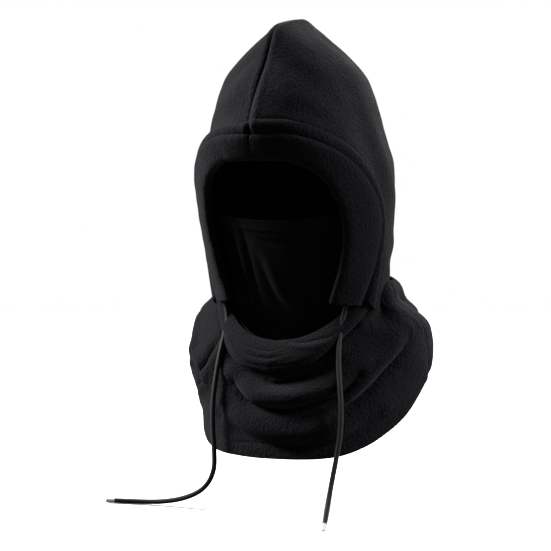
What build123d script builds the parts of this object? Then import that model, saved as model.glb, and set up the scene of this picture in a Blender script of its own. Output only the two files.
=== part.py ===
"""Fleece balaclava hood with a drawcord, a pull-down face mask and a shoulder cape.

Millimetres, +Z up. The wearer looks along -Y and the wearer's left is +X. The origin is the
middle of the neck opening, level with the jaw.
"""
from build123d import *
from math import cos, pi, radians, sin, sqrt, tan
import os

# ---------------------------------------------------------------- driving dimensions
FLEECE = 3.0              # one layer of fleece
TAPE = 0.8                # seam tape and label
THREAD = 0.5              # how far sewing thread stands out of the cloth
FACE_TILT = 17.0          # the face opening leans back towards the jaw by this angle
BAND_RADIUS = 108.0       # plan radius of the casing round the face
BAND_FRONT = 98.0         # the casing's middle line stands this far forward at the forehead
FOREHEAD_Z = 154.0        # height of that place
BAND_DEPTH = 11.0         # casing, front to back
BAND_WIDTH = 26.0         # casing, across its face
CASING_WALL = 2.2         # one layer of the folded casing
SEAM_FOLD = 2.0           # each sewn edge of the casing
JAW_DOWN = 170.0          # the casing's lower ends, measured down the slope
CORD_D = 5.0              # round drawcord
CORD_STRAIGHT = 10.0      # the free ends leave the casing straight for this far
AGLET_D = 4.4             # clear tip on the cord
AGLET_LENGTH = 9.0
AGLET_ROUND = 0.8
MASK_RADIUS = 78.0        # plan radius of the face mask
MASK_SET_BACK = 19.6      # mask's front, behind the casing's middle line at the forehead
MASK_TOP_DOWN = 76.0      # mask's top edge, measured down the slope
MASK_HEIGHT = 140.0
MASK_THICK = 2.4
MASK_HEM = 12.0           # depth of the folded hem on the mask's top edge
MASK_HEM_THICK = 1.8
MASK_TOP_HALF = 74.0
MASK_LOW_HALF = 56.0
HEM_FOLD = 14.0           # depth of the folded hem round the cape
HEM_THICK = 1.6
CHIN_PROUD = 1.6          # the chin band stands this far proud of the collar
CHIN_LAYER = 2.7          # one layer of the doubled chin band
TAPE_HALF = 6.0           # half width of the crown seam tape
COLLAR_FRONT_Z = -1.0     # the collar's top edge at the front
COLLAR_BEND_Y = -10.0     # from here back the edge rises
COLLAR_BACK_Z = 51.0      # the height that it would reach at half of REACH behind
COLLAR_TAPE = 10.0        # width of the tape along the collar's top edge
STITCH_WIDTH = 0.8        # width of a line of stitching
MASK_STITCH_UP = 1.8      # this line runs just inside the mask hem's lower edge
CHIN_STITCH_IN = 2.2      # this one stands below the chin band's lower edge
HEM_STITCH_IN = 1.6       # and this one inside the cape hem's upper edge
LABEL_HALF = 12.0
LABEL_HEIGHT = 32.0
LABEL_TOP_Z = 22.0
SHOULDER_SEAM_Y = 30.0    # where the cape's front and back panels meet
HOOD_SKIRT_Z = -18.0      # the hood's lower edge, tucked inside the collar
CAPE_RUN_ON = 6.0         # how far the cape's inside runs on past its ends, to cut clean
REACH = 400.0             # longer than any cut needs to be

# Level sections, each an egg of two half ellipses: height, half width, y of the widest
# place, foremost y and rearmost y.
HOOD_LEVELS = (
    (-24, 80, 2, -28, 84),
    (10, 86, 0, -42, 90),
    (45, 94, -4, -66, 97),
    (85, 99, -4, -90, 101),
    (125, 97, -2, -102, 102),
    (165, 84, 0, -103, 99),
    (205, 72, 0, -84, 90),
    (235, 59, 0, -64, 72),
    (256, 38, 0, -55, 54),
    (270, 18, -4, -49, 40),
    (281, 2.5, -12, -42, 16),
)
CAPE_LEVELS = (
    (44, 80, 12, -16, 108),
    (30, 88, 12, -18, 113),
    (14, 96, 14, -20, 119),
    (0, 100, 17, -22, 124),
    (-9, 111, 22, -26, 127),
    (-20, 121, 27, -32, 131),
    (-40, 126, 30, -48, 135),
    (-75, 127, 30, -64, 139),
    (-110, 125, 30, -75, 140),
    (-150, 119, 30, -82, 136),
)

# The casing's outer seam on the face plane, right half, from the crown down.
SEAM_POINTS = ((0, 15), (42, 9), (75, -18), (94, -62), (96, -100), (89, -136), (77, -170))
SEAM_END_SLOPE = (-0.36, -1)
SEAM_RUN_ON = 60.0        # the seam line is carried this far past the jaw to make cuts
SEAM_STEPS = 14           # places along the seam at which a drawn-in copy is set out

# Side view of the cape's hem, front to back: low at the chest and the back, high over the
# shoulders.
HEM_POINTS = (
    (-100, -144), (-62, -141), (-25, -120), (28, -72), (62, -42), (88, -26), (112, -48),
    (130, -88), (152, -104),
)

# Front view of the chin band's two edges, right half, from the jaw to the middle.
CHIN_TOP_POINTS = ((70, 8), (52, -16), (26, -32), (0, -36))
CHIN_LOW_POINTS = ((84, 8), (64, -26), (36, -54), (0, -62))

# The middle line of the casing on the face plane, from the wearer's left exit to the crown.
TUNNEL_POINTS = (
    (65.5, -170), (71.5, -151), (77, -131), (81, -110), (83, -88), (81.5, -66), (76, -46),
    (66, -28), (52.5, -14), (36.5, -5.5), (18.5, -1.0), (6, 0.1),
)

# The two free ends of the drawcord, from just below the casing to the tip.
LEFT_TAIL_POINTS = (
    (62.5, -34.5, -27), (66, -46, -46), (71, -55, -68), (76, -62, -92), (78, -68, -116),
    (76, -74, -140), (74, -81, -163), (75, -92, -182), (79, -107, -193),
)
RIGHT_TAIL_POINTS = (
    (-61, -35, -27), (-59.5, -48, -45), (-58, -60, -67), (-57, -69, -92), (-54, -76, -117),
    (-49, -81, -140), (-47, -85, -161), (-57, -88, -178), (-78, -89, -188.5),
    (-103, -91, -194), (-127, -95.5, -195), (-150, -101.5, -195),
)


# ---------------------------------------------------------------- shared shapes
def egg_stack(levels, inset, drop=0.0, ruled=False):
    """Lofts the level sections, each drawn in by inset, into one solid block."""
    with BuildPart() as block:
        for height, half_width, widest_y, front_y, back_y in levels:
            half = max(half_width - inset, 0.8)
            with BuildSketch(Plane.XY.offset(height - drop)):
                with BuildLine():
                    front = widest_y - front_y - inset
                    back = back_y - widest_y - inset
                    EllipticalCenterArc((0, widest_y), half, front, 180, arc_size=180)
                    EllipticalCenterArc((0, widest_y), half, back, 0, arc_size=180)
                make_face()
        loft(ruled=ruled)
    return block.part


def cape_block(inset):
    """The cape's outside drawn in by inset; drawn-in blocks run on past both ends."""
    top = CAPE_LEVELS[0]
    foot = CAPE_LEVELS[-1]
    run_on = CAPE_RUN_ON if inset > 0 else 0
    above = (top[0] + run_on, *top[1:])
    below = (foot[0] - run_on, *foot[1:])
    levels = (above, *CAPE_LEVELS[1:-1], below)
    return egg_stack(levels, inset, ruled=True)


# The face plane: x runs across, y runs up the slope and z points out of the face.
LEAN = radians(FACE_TILT)
FACE_PLANE = Plane(
    origin=(0, -BAND_FRONT, FOREHEAD_Z), x_dir=(1, 0, 0), z_dir=(0, -cos(LEAN), -sin(LEAN))
)
# Looking down the slope: x runs across, y runs into the hood and z points up the slope.
SLOPE_PLANE = Plane(
    origin=(0, -BAND_FRONT, FOREHEAD_Z), x_dir=(1, 0, 0), z_dir=(0, -sin(LEAN), cos(LEAN))
)


def drawn_in_seam(inset):
    """Places along the casing's outer seam, from the crown down, moved inwards by inset."""
    with BuildLine():
        seam = Spline(*SEAM_POINTS, tangents=((1, 0), SEAM_END_SLOPE))
    places = []
    for step in range(SEAM_STEPS + 1):
        along = seam % (step / SEAM_STEPS)
        inward = Vector(along.Y, -along.X)
        places.append(seam @ (step / SEAM_STEPS) + inward * inset)
    return places


def seam_arch(inset, low):
    """The area inside the casing's outer seam, drawn in by inset and ended at low."""
    places = drawn_in_seam(inset)
    jaw = places[-1]
    run_out = jaw + Vector(*SEAM_END_SLOPE) * SEAM_RUN_ON
    with BuildSketch() as arch:
        with BuildLine():
            Spline(*places, tangents=((1, 0), SEAM_END_SLOPE))
            Polyline(jaw, run_out, (0, run_out.Y))
            mirror(about=Plane.YZ)
        make_face()
        with Locations((0, low + REACH / 2)):
            Rectangle(REACH, REACH, mode=Mode.INTERSECT)
    return arch.sketch


def arch_block(inset, low=-JAW_DOWN, behind=95.0, ahead=60.0):
    """The seam arch carried through the hood's front, across the face plane."""
    with BuildPart() as block:
        with BuildSketch(FACE_PLANE.offset(-behind)):
            add(seam_arch(inset, low))
        extrude(amount=behind + ahead)
    return block.part


def slope_ring(centre_y, outer, inner):
    """An upright round wall whose generators run down the slope of the face."""
    with BuildPart() as ring:
        with BuildSketch(SLOPE_PLANE):
            with Locations((0, centre_y)):
                Circle(outer)
                if inner:
                    Circle(inner, mode=Mode.SUBTRACT)
        extrude(amount=REACH, both=True)
    return ring.part


def below_hem(lift):
    """Everything below the hem's side-view curve raised by lift, right across the cape."""
    curve = [(y, z + lift) for y, z in HEM_POINTS]
    with BuildPart() as block:
        with BuildSketch(Plane.YZ.offset(-REACH / 2)):
            with BuildLine():
                Spline(*curve)
                Polyline(curve[-1], (curve[-1][0] + 60, curve[-1][1]), (REACH / 2, -REACH),
                         (-REACH / 2, -REACH), (curve[0][0] - 60, curve[0][1]), curve[0])
            make_face()
        extrude(amount=REACH)
    return block.part


def side_block(points):
    """A side-view polygon, given as y and z, carried right across the part."""
    with BuildPart() as block:
        with BuildSketch(Plane.YZ.offset(-REACH / 2)):
            with BuildLine():
                Polyline(*points, close=True)
            make_face()
        extrude(amount=REACH)
    return block.part


def chin_area(points, lower):
    """Front-view area above a chin band edge, lowered by lower, carried forward."""
    edge = [(across, up - lower) for across, up in points]
    side_x = edge[0][0]
    with BuildPart() as block:
        with BuildSketch(Plane.XZ):
            with BuildLine():
                Spline(*edge, tangents=((-0.35, -1), (-1, 0)))
                Polyline(edge[0], (side_x, REACH / 2), (0, REACH / 2))
                mirror(about=Plane.YZ)
            make_face()
        extrude(amount=REACH / 2)
    return block.part


def on_casing(across, up):
    """The place on the casing's middle surface at the given face plane position."""
    depth = BAND_RADIUS - sqrt(BAND_RADIUS**2 - across**2)
    return FACE_PLANE.from_local_coords(Vector(across, up, -depth))


def bend_radii(points):
    """The largest arc at each inner point: 0.45 of the shorter run over tan of half the turn."""
    radii = []
    for before, here, after in zip(points, points[1:], points[2:]):
        run_in = here - before
        run_out = after - here
        turn = run_in.get_angle(run_out)
        radii.append(0.45 * min(run_in.length, run_out.length) / tan(radians(turn / 2)))
    return radii


def cord_tube(points, diameter, name):
    """A round tube along straight runs joined by tangent arcs; prints how tight it bends."""
    radii = bend_radii(points)
    with BuildPart() as tube:
        with BuildLine() as route:
            FilletPolyline(*points, radius=radii)
        start = Plane(origin=points[0], z_dir=points[1] - points[0])
        with BuildSketch(start):
            Circle(diameter / 2)
        sweep(path=route.line)
    length = sum(edge.length for edge in route.line.edges())
    expected = pi * diameter**2 / 4 * length
    print(f"{name}: length {length:.0f} mm, tightest bend {min(radii):.1f} mm,"
          f" volume {tube.part.volume:.0f} of {expected:.0f}")
    return tube.part


def piece(part, name):
    """Labels a finished piece and writes it to its STEP file."""
    part.label = name
    export_step(part, f"parts/{name}.step")


os.makedirs("parts", exist_ok=True)
hood_outside = egg_stack(HOOD_LEVELS, 0)
hood_inside = egg_stack(HOOD_LEVELS[:-1], FLEECE)
hood_tape_inside = egg_stack(HOOD_LEVELS[:-1], FLEECE + TAPE, drop=TAPE)
SEAM_END = -JAW_DOWN - SEAM_RUN_ON

# The hood is cut back to the casing's rear face under the casing, and cut right through
# inside it.
with BuildPart() as face_cut:
    add(arch_block(0, low=SEAM_END))
    add(slope_ring(BAND_RADIUS, BAND_RADIUS - BAND_DEPTH / 2, 0), mode=Mode.SUBTRACT)
    add(arch_block(BAND_WIDTH, low=SEAM_END))
hood_floor = side_block((
    (-REACH / 2, 2.5), (0, 2.5), (14, HOOD_SKIRT_Z), (REACH / 2, HOOD_SKIRT_Z),
    (REACH / 2, -REACH), (-REACH / 2, -REACH),
))

# ---------------------------------------------------------------- the hood
with BuildPart() as hood_shell:
    add(hood_outside)
    add(hood_inside, mode=Mode.SUBTRACT)
    add(face_cut.part, mode=Mode.SUBTRACT)
    add(hood_floor, mode=Mode.SUBTRACT)

with BuildPart() as hood_left_panel:
    add(hood_shell.part)
    split(bisect_by=Plane.YZ, keep=Keep.TOP)
piece(hood_left_panel.part, "hood_left_panel")

with BuildPart() as hood_right_panel:
    add(hood_shell.part)
    split(bisect_by=Plane.YZ, keep=Keep.BOTTOM)
piece(hood_right_panel.part, "hood_right_panel")

with BuildPart() as crown_seam_tape:
    add(hood_inside)
    add(hood_tape_inside, mode=Mode.SUBTRACT)
    add(face_cut.part, mode=Mode.SUBTRACT)
    add(hood_floor, mode=Mode.SUBTRACT)
    Box(2 * TAPE_HALF, REACH * 2, REACH * 2, mode=Mode.INTERSECT)
piece(crown_seam_tape.part, "crown_seam_tape")

# ---------------------------------------------------------------- the casing and its cord
TUNNEL_HALF = BAND_DEPTH / 2 - CASING_WALL


def casing_half(side):
    """One half of the casing: a folded arch band with a tunnel open at its lower end."""
    with BuildPart() as tunnel:
        add(slope_ring(BAND_RADIUS, BAND_RADIUS + TUNNEL_HALF, BAND_RADIUS - TUNNEL_HALF))
        add(arch_block(SEAM_FOLD, low=SEAM_END), mode=Mode.INTERSECT)
        add(arch_block(BAND_WIDTH - SEAM_FOLD, low=SEAM_END), mode=Mode.SUBTRACT)
    with BuildPart() as band:
        add(slope_ring(BAND_RADIUS, BAND_RADIUS + BAND_DEPTH / 2, BAND_RADIUS - BAND_DEPTH / 2))
        add(arch_block(0), mode=Mode.INTERSECT)
        add(arch_block(BAND_WIDTH, low=SEAM_END), mode=Mode.SUBTRACT)
        add(tunnel.part, mode=Mode.SUBTRACT)
        with Locations((side * REACH / 2, 0, 0)):
            Box(REACH, REACH * 2, REACH * 2, mode=Mode.INTERSECT)
    return band.part


piece(casing_half(1), "casing_left")
piece(casing_half(-1), "casing_right")

half_run = [on_casing(across, up) for across, up in TUNNEL_POINTS]
other_half = [Vector(-place.X, place.Y, place.Z) for place in reversed(half_run)]
piece(cord_tube(half_run + other_half, CORD_D, "drawcord_run"), "drawcord_run")

exit_left = half_run[0]
exit_right = Vector(-exit_left.X, exit_left.Y, exit_left.Z)
pull_left = (half_run[0] - half_run[1]).normalized()
pull_right = Vector(-pull_left.X, pull_left.Y, pull_left.Z)
print("exit", exit_left, "pull", pull_left)


def tail(exit_place, pull, points, name, aglet_name):
    """One free end of the drawcord and the clear tip on it."""
    straight = exit_place + pull * CORD_STRAIGHT
    route = [exit_place, straight] + [Vector(*place) for place in points]
    piece(cord_tube(route, CORD_D, name), name)
    direction = (route[-1] - route[-2]).normalized()
    with BuildPart() as aglet:
        with BuildSketch(Plane(origin=route[-1], z_dir=direction)):
            Circle(AGLET_D / 2)
        extrude(amount=AGLET_LENGTH)
        far_end = aglet.faces().sort_by(Axis(route[-1], direction))[-1]
        fillet(far_end.edges(), AGLET_ROUND)
    piece(aglet.part, aglet_name)


tail(exit_left, pull_left, LEFT_TAIL_POINTS, "drawcord_left", "aglet_left")
tail(exit_right, pull_right, RIGHT_TAIL_POINTS, "drawcord_right", "aglet_right")

# ---------------------------------------------------------------- the face mask
MASK_CENTRE = MASK_SET_BACK + MASK_RADIUS


def mask_outline(top_down, low_down):
    """Front view of a stretch of the mask, carried back as far as the ring's middle."""
    taper = (MASK_TOP_HALF - MASK_LOW_HALF) / MASK_HEIGHT
    top_half = MASK_TOP_HALF - taper * (top_down - MASK_TOP_DOWN)
    low_half = MASK_TOP_HALF - taper * (low_down - MASK_TOP_DOWN)
    with BuildPart() as block:
        with BuildSketch(FACE_PLANE.offset(-MASK_CENTRE)):
            with BuildLine():
                Polyline(
                    (-top_half, -top_down), (top_half, -top_down), (low_half, -low_down),
                    (-low_half, -low_down), close=True,
                )
            make_face()
        extrude(amount=MASK_CENTRE + 20)
    return block.part


def mask_layer(inner, outer, top_down, low_down):
    """One curved layer of the mask between two radii and two heights down the slope."""
    with BuildPart() as layer:
        add(slope_ring(MASK_CENTRE, outer, inner))
        add(mask_outline(top_down, low_down), mode=Mode.INTERSECT)
    return layer.part


MASK_LOW_DOWN = MASK_TOP_DOWN + MASK_HEIGHT
HEM_LOW_DOWN = MASK_TOP_DOWN + MASK_HEM
HEM_RADIUS = MASK_RADIUS + MASK_HEM_THICK
piece(
    mask_layer(MASK_RADIUS - MASK_THICK, MASK_RADIUS, MASK_TOP_DOWN, MASK_LOW_DOWN),
    "face_mask",
)
piece(mask_layer(MASK_RADIUS, HEM_RADIUS, MASK_TOP_DOWN, HEM_LOW_DOWN), "mask_top_hem")
piece(
    mask_layer(
        HEM_RADIUS, HEM_RADIUS + THREAD,
        HEM_LOW_DOWN - MASK_STITCH_UP - STITCH_WIDTH, HEM_LOW_DOWN - MASK_STITCH_UP,
    ),
    "mask_hem_thread",
)

# ---------------------------------------------------------------- the collar and cape
def collar_edge(drop):
    """Side view of the collar's top edge, lowered by drop: level in front, rising behind."""
    return (
        (-REACH / 2, COLLAR_FRONT_Z - drop), (COLLAR_BEND_Y, COLLAR_FRONT_Z - drop),
        (REACH / 2, COLLAR_BACK_Z - drop),
    )


collar_roof = side_block((*collar_edge(0), (REACH / 2, REACH), (-REACH / 2, REACH)))
collar_tape_floor = side_block(
    (*collar_edge(COLLAR_TAPE), (REACH / 2, -REACH), (-REACH / 2, -REACH))
)
hem_line = below_hem(0)
chin_top = chin_area(CHIN_TOP_POINTS, 0)
chin_low = chin_area(CHIN_LOW_POINTS, 0)
cape_outside = cape_block(0)
cape_inside = cape_block(FLEECE)

with BuildPart() as cape_shell:
    add(cape_outside)
    add(cape_inside, mode=Mode.SUBTRACT)
    add(collar_roof, mode=Mode.SUBTRACT)
    add(hem_line, mode=Mode.SUBTRACT)
    add(chin_low, mode=Mode.SUBTRACT)

shoulder_seam = Plane.XZ.offset(-SHOULDER_SEAM_Y)
with BuildPart() as cape_front_panel:
    add(cape_shell.part)
    split(bisect_by=shoulder_seam, keep=Keep.TOP)
piece(cape_front_panel.part, "cape_front_panel")

with BuildPart() as cape_back_panel:
    add(cape_shell.part)
    split(bisect_by=shoulder_seam, keep=Keep.BOTTOM)
piece(cape_back_panel.part, "cape_back_panel")


def collar_layer(inner_inset, outer_inset):
    """The solid between two insets of the cape, trimmed by the collar's top edge."""
    with BuildPart() as layer:
        add(cape_block(outer_inset))
        add(cape_block(inner_inset), mode=Mode.SUBTRACT)
        add(collar_roof, mode=Mode.SUBTRACT)
    return layer.part


with BuildPart() as chin_band:
    add(collar_layer(CHIN_LAYER - CHIN_PROUD, -CHIN_PROUD))
    add(chin_low, mode=Mode.INTERSECT)
    add(chin_top, mode=Mode.SUBTRACT)
piece(chin_band.part, "chin_band")

with BuildPart() as chin_band_lining:
    add(collar_layer(2 * CHIN_LAYER - CHIN_PROUD, CHIN_LAYER - CHIN_PROUD))
    add(chin_low, mode=Mode.INTERSECT)
    add(chin_top, mode=Mode.SUBTRACT)
piece(chin_band_lining.part, "chin_band_lining")

with BuildPart() as chin_band_thread:
    add(collar_layer(0, -THREAD))
    add(chin_area(CHIN_LOW_POINTS, CHIN_STITCH_IN + STITCH_WIDTH), mode=Mode.INTERSECT)
    add(chin_area(CHIN_LOW_POINTS, CHIN_STITCH_IN), mode=Mode.SUBTRACT)
piece(chin_band_thread.part, "chin_band_thread")

with BuildPart() as hem_ring:
    add(collar_layer(FLEECE + HEM_THICK, FLEECE))
    add(below_hem(HEM_FOLD), mode=Mode.INTERSECT)
    add(hem_line, mode=Mode.SUBTRACT)

with BuildPart() as hem_front_fold:
    add(hem_ring.part)
    split(bisect_by=shoulder_seam, keep=Keep.TOP)
piece(hem_front_fold.part, "hem_front_fold")

with BuildPart() as hem_back_fold:
    add(hem_ring.part)
    split(bisect_by=shoulder_seam, keep=Keep.BOTTOM)
piece(hem_back_fold.part, "hem_back_fold")

with BuildPart() as hem_thread:
    add(collar_layer(0, -THREAD))
    add(below_hem(HEM_FOLD - HEM_STITCH_IN), mode=Mode.INTERSECT)
    add(below_hem(HEM_FOLD - HEM_STITCH_IN - STITCH_WIDTH), mode=Mode.SUBTRACT)
piece(hem_thread.part, "hem_thread")

with BuildPart() as collar_seam_tape:
    add(collar_layer(FLEECE + TAPE, FLEECE))
    add(collar_tape_floor, mode=Mode.SUBTRACT)
    split(bisect_by=shoulder_seam, keep=Keep.BOTTOM)
piece(collar_seam_tape.part, "collar_seam_tape")

with BuildPart() as care_label:
    add(collar_layer(FLEECE + 2 * TAPE, FLEECE + TAPE))
    split(bisect_by=shoulder_seam, keep=Keep.BOTTOM)
    with Locations((0, 0, LABEL_TOP_Z - LABEL_HEIGHT / 2)):
        Box(2 * LABEL_HALF, REACH, LABEL_HEIGHT, mode=Mode.INTERSECT)
piece(care_label.part, "care_label")
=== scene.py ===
"""A black fleece balaclava hood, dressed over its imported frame.

Metres, +Z up. The wearer looks along -Y and the wearer's left is +X. Lengths in the dataclasses
are millimetres, as the maker's pattern gives them, and are turned into metres once, where a mesh
is built.
"""
import logging
import math
from dataclasses import dataclass, field
from enum import Enum
from typing import Any, Sequence

import bpy
import numpy as np
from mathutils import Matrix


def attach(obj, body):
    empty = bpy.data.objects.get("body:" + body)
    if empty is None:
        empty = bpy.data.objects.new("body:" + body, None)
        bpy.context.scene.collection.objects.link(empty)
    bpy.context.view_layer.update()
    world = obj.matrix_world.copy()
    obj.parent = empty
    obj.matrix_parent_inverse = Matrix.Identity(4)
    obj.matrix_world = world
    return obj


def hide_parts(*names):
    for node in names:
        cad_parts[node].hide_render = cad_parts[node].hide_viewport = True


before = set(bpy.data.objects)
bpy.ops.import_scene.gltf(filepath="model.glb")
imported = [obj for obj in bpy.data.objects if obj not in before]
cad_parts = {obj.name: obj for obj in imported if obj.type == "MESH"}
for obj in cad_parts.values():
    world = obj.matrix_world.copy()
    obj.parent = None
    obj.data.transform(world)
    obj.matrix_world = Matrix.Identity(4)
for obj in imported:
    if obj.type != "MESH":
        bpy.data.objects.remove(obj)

log = logging.getLogger("balaclava")
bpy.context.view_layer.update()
MM = 0.001
LEAST_AREA_SHARE = 0.31    # of a sheet's width times its length
TAPE_THICKNESS = 0.6
LABEL_THICKNESS = 0.5


class Side(Enum):
    """The wearer's two sides, as the sign of X."""

    LEFT = 1
    RIGHT = -1


# ---------------------------------------------------------------- shader maths
class Socket:
    """A shader value, so that arithmetic on it adds Math nodes."""

    def __init__(self, shader: "Shader", output: Any) -> None:
        """Keeps the output socket and the shader that it belongs to."""
        self.shader = shader
        self.output = output

    def _math(self, operation: str, first: Any, second: Any) -> "Socket":
        """Adds one Math node."""
        return self.shader.node("ShaderNodeMath", {"operation": operation}, {0: first, 1: second})

    def __add__(self, other: Any) -> "Socket":
        """self + other."""
        return self._math("ADD", self, other)

    __radd__ = __add__

    def __sub__(self, other: Any) -> "Socket":
        """self - other."""
        return self._math("SUBTRACT", self, other)

    def __rsub__(self, other: Any) -> "Socket":
        """other - self."""
        return self._math("SUBTRACT", other, self)

    def __mul__(self, other: Any) -> "Socket":
        """self * other."""
        return self._math("MULTIPLY", self, other)

    __rmul__ = __mul__


def camera_only(tree: Any, unseen: float, seen: float, target: Any) -> None:
    """Gives a target socket one value for camera rays and another for all other rays."""
    rays = tree.nodes.new("ShaderNodeLightPath")
    level = tree.nodes.new("ShaderNodeMapRange")
    level.inputs["To Min"].default_value = unseen
    level.inputs["To Max"].default_value = seen
    tree.links.new(rays.outputs["Is Camera Ray"], level.inputs["Value"])
    tree.links.new(level.outputs["Result"], target)


class Shader:
    """One procedural material under construction."""

    def __init__(self, name: str) -> None:
        """Starts a material with a Principled surface and Object coordinates."""
        self.material = bpy.data.materials.new(name)
        self.material.use_nodes = True
        self.tree = self.material.node_tree
        self.tree.nodes.clear()
        self.place = Socket(self, self.tree.nodes.new("ShaderNodeTexCoord").outputs["Object"])
        self.surface = self.tree.nodes.new("ShaderNodeBsdfPrincipled")
        end = self.tree.nodes.new("ShaderNodeOutputMaterial")
        self.tree.links.new(self.surface.outputs["BSDF"], end.inputs["Surface"])

    def node(self, kind: str, settings: dict, inputs: dict, output: Any = 0) -> Socket:
        """Adds a node.

        Args:
            kind: the node's type.
            settings: properties set before its sockets are filled; "stops" fills a colour ramp.
            inputs: values or Sockets by socket name or number.
            output: the name or number of the output to return.

        Returns:
            The chosen output.
        """
        made = self.tree.nodes.new(kind)
        for key, value in settings.items():
            if key == "stops":
                ramp = made.color_ramp
                ramp.elements[0].position, ramp.elements[0].color = value[0]
                ramp.elements[1].position, ramp.elements[1].color = value[-1]
                for position, colour in value[1:-1]:
                    ramp.elements.new(position).color = colour
            else:
                setattr(made, key, value)
        for key, value in inputs.items():
            self.fill(made.inputs[key], value)
        return Socket(self, made.outputs[output])

    def fill(self, target: Any, value: Any) -> None:
        """Links a Socket to a target socket, or sets a plain value on it."""
        if isinstance(value, Socket):
            self.tree.links.new(value.output, target)
        else:
            target.default_value = value

    def dress(self, **values: Any) -> None:
        """Fills the Principled surface's sockets, named with _ for a space."""
        for key, value in values.items():
            self.fill(self.surface.inputs[key.replace("_", " ")], value)

    def noise(self, scale: float, detail: float = 2.0, rough: float = 0.5) -> Socket:
        """Noise on the Object coordinates, with scale in turns per metre."""
        return self.node(
            "ShaderNodeTexNoise", {},
            {"Vector": self.place, "Scale": scale, "Detail": detail, "Roughness": rough},
        )

    def pills(self, scale: float) -> Socket:
        """Rounded cells on the Object coordinates, for pilled fleece."""
        return self.node(
            "ShaderNodeTexVoronoi", {"feature": "SMOOTH_F1"},
            {"Vector": self.place, "Scale": scale, "Smoothness": 0.6}, "Distance",
        )

    def blend_colours(self, factor: Socket, low: Sequence[float], high: Sequence[float]) -> Socket:
        """Mixes two colours by a factor."""
        stops = ((0.0, (*low, 1.0)), (1.0, (*high, 1.0)))
        return self.node("ShaderNodeValToRGB", {"stops": stops}, {"Fac": factor}, "Color")

    def bump(self, height: Socket, strength: float, distance: float) -> None:
        """Feeds a height to the surface's normal through a Bump node."""
        raised = self.node(
            "ShaderNodeBump", {},
            {"Height": height, "Strength": strength, "Distance": distance}, "Normal",
        )
        self.dress(Normal=raised)


@dataclass(frozen=True)
class Fleece:
    """Brushed knit: dark, matt, softly lit at grazing angles, with fine pills."""

    name: str
    dark: tuple = (0.0006, 0.0006, 0.0010)
    light: tuple = (0.0080, 0.0077, 0.0102)
    sheen: float = 0.08
    sheen_tint: tuple = (0.36, 0.35, 0.42, 1.0)
    pill_scale: float = 430.0
    pile_scale: float = 1500.0
    bump: float = 1.0

    def build(self) -> bpy.types.Material:
        """Returns the finished material."""
        shader = Shader(self.name)
        pill = shader.pills(self.pill_scale)
        pile = shader.noise(self.pile_scale, 3.0, 0.65)
        patch = shader.noise(26.0, 3.0, 0.55)
        clumps = shader.noise(240.0, 3.0, 0.6)
        tone = pile * 0.4 + patch * 0.3 + clumps * 0.5 - pill * 0.45
        shader.dress(
            Base_Color=shader.blend_colours(tone, self.dark, self.light),
            Roughness=0.86 + pile * 0.12,
            Specular_IOR_Level=0.06,
            Sheen_Weight=self.sheen,
            Sheen_Roughness=0.45,
            Sheen_Tint=self.sheen_tint,
        )
        shader.bump((1.0 - pill) * 0.8 + pile * 0.45 + clumps * 0.6, self.bump, 0.0011)
        return shader.material


@dataclass(frozen=True)
class Jersey:
    """Smooth fine knit with short ribs down the cloth, for the face mask."""

    name: str
    dark: tuple = (0.0010, 0.0010, 0.0013)
    light: tuple = (0.0034, 0.0034, 0.0042)
    sheen: float = 0.02
    rib_scale: float = 520.0

    def build(self) -> bpy.types.Material:
        """Returns the finished material."""
        shader = Shader(self.name)
        ribs = shader.node(
            "ShaderNodeTexWave", {"wave_type": "BANDS", "bands_direction": "X"},
            {"Vector": shader.place, "Scale": self.rib_scale, "Distortion": 0.8, "Detail": 1.0},
            "Fac",
        )
        grain = shader.noise(1800.0, 2.0, 0.6)
        shader.dress(
            Base_Color=shader.blend_colours(grain * 0.6 + ribs * 0.3, self.dark, self.light),
            Roughness=0.8 + grain * 0.15,
            Specular_IOR_Level=0.05,
            Sheen_Weight=self.sheen,
            Sheen_Roughness=0.5,
            Sheen_Tint=(0.4, 0.4, 0.45, 1.0),
        )
        shader.bump(ribs * 0.5 + grain * 0.5, 0.4, 0.0003)
        return shader.material


@dataclass(frozen=True)
class Woven:
    """Flat woven tape, thread or braid: two crossing sets of fine ribs."""

    name: str
    dark: tuple
    light: tuple
    rib_scale: float = 900.0
    rough: float = 0.7
    sheen: float = 0.08

    def build(self) -> bpy.types.Material:
        """Returns the finished material."""
        shader = Shader(self.name)
        warp, weft = (
            shader.node(
                "ShaderNodeTexWave", {"wave_type": "BANDS", "bands_direction": direction},
                {"Vector": shader.place, "Scale": self.rib_scale, "Distortion": 0.4}, "Fac",
            )
            for direction in ("X", "Z")
        )
        fuzz = shader.noise(3200.0, 2.0, 0.6)
        weave = warp * 0.5 + weft * 0.5
        shader.dress(
            Base_Color=shader.blend_colours(weave * 0.6 + fuzz * 0.4, self.dark, self.light),
            Roughness=self.rough + fuzz * 0.15,
            Specular_IOR_Level=0.12,
            Sheen_Weight=self.sheen,
            Sheen_Roughness=0.4,
        )
        shader.bump(weave * 0.6 + fuzz * 0.4, 0.35, 0.0002)
        return shader.material


@dataclass(frozen=True)
class ClearTube:
    """Clear heat-shrunk plastic of a cord tip, with the cord's shade showing through."""

    name: str
    colour: tuple = (0.62, 0.64, 0.68)

    def build(self) -> bpy.types.Material:
        """Returns the finished material."""
        shader = Shader(self.name)
        cloud = shader.noise(700.0, 2.0, 0.5)
        low = tuple(part * 0.55 for part in self.colour)
        shader.dress(
            Base_Color=shader.blend_colours(cloud, low, self.colour),
            Roughness=0.12 + cloud * 0.12,
            Specular_IOR_Level=0.6,
            Coat_Weight=0.6,
            Coat_Roughness=0.05,
        )
        shader.bump(cloud, 0.15, 0.0002)
        return shader.material


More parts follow.
